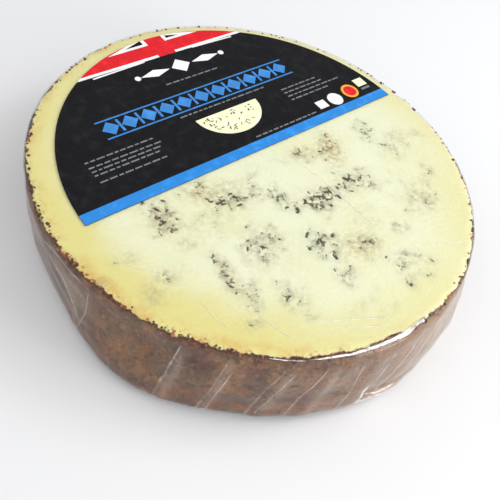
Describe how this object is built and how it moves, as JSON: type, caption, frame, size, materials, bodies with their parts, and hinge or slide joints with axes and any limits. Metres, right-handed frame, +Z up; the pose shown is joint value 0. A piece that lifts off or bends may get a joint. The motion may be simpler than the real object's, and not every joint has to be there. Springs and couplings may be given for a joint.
{
  "type": "blue stilton cheese",
  "caption": "Flat quarter disc of blue-veined cheese with a brown rind, shrink-wrapped in clear film, with a half-round printed label on its cut face.",
  "frame": {"origin": "centre of the bounding box at its base, on the surface the cheese stands on", "axes": "+Z up, out of the cut face; +Y towards the top of the label; +X to the label's right"},
  "size_m": [0.2126, 0.2158, 0.0507],
  "materials": {
    "cheese": "cream cut face with grey-green veins, yellower towards a mottled brown rind",
    "film": "thin clear shrink film, glossy, creased and pleated",
    "label": "glossy near-black print with a blue band, red, white and blue fields and small pale shapes"
  },
  "bodies": {
    "root": {"cheese": "cheese", "label": "label"}
  },
  "joints": []
}
